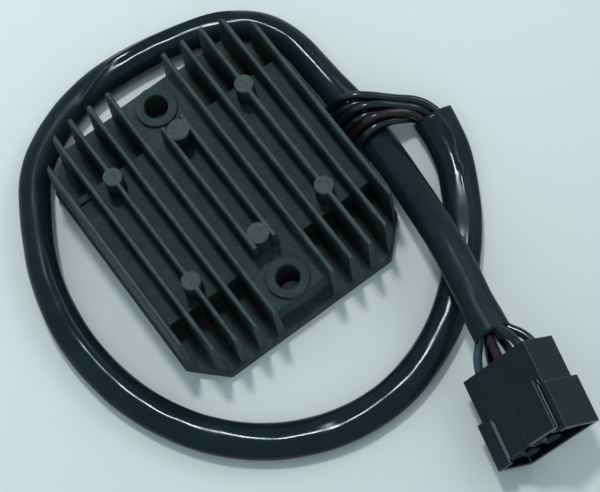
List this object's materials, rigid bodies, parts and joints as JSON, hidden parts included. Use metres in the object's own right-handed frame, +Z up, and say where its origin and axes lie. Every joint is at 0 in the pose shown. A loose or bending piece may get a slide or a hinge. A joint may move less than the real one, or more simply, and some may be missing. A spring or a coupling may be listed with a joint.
{
  "type": "voltage regulator rectifier",
  "caption": "Finned die-cast voltage regulator rectifier with two mounting holes, potted electronics and a sleeved lead ending in a rectangular connector.",
  "frame": {"origin": "middle of the flat mounting face, halfway between the two mounting holes", "axes": "+Z up through the fins, away from the mounting face; +Y along the fins and the line of holes; the lead leaves on the +X side"},
  "size_m": [0.1323, 0.1775, 0.0302],
  "materials": {
    "cast_body": "die-cast, dark satin coating with a fine grain",
    "thermal_sheet": "matt silicone sheet",
    "power_device": "moulded epoxy",
    "circuit_board": "coated laminate",
    "potting_resin": "poured black resin",
    "lead_black": "glossy PVC insulation",
    "lead_brown": "glossy PVC insulation",
    "sleeve": "soft glossy PVC tubing, wrinkled",
    "connector": "satin moulded nylon",
    "terminal": "tin-plated"
  },
  "bodies": {
    "root": {"heat_sink": "cast_body", "thermal_sheet": "thermal_sheet", "power_device_1": "power_device", "power_device_2": "power_device", "power_device_3": "power_device", "power_device_4": "power_device", "power_device_5": "power_device", "power_device_6": "power_device", "circuit_board": "circuit_board", "potting_resin": "potting_resin", "lead_1": "lead_black", "lead_2": "lead_black", "lead_3": "lead_black", "lead_4": "lead_black", "lead_5": "lead_brown", "lead_6": "lead_black", "cable_sleeve": "sleeve", "connector_housing": "connector", "terminal_1": "terminal", "terminal_2": "terminal", "terminal_3": "terminal", "terminal_4": "terminal", "terminal_5": "terminal", "terminal_6": "terminal", "plug_lead_1": "lead_black", "plug_lead_2": "lead_brown", "plug_lead_3": "lead_black", "plug_lead_4": "lead_black", "plug_lead_5": "lead_black", "plug_lead_6": "lead_black"}
  },
  "joints": []
}
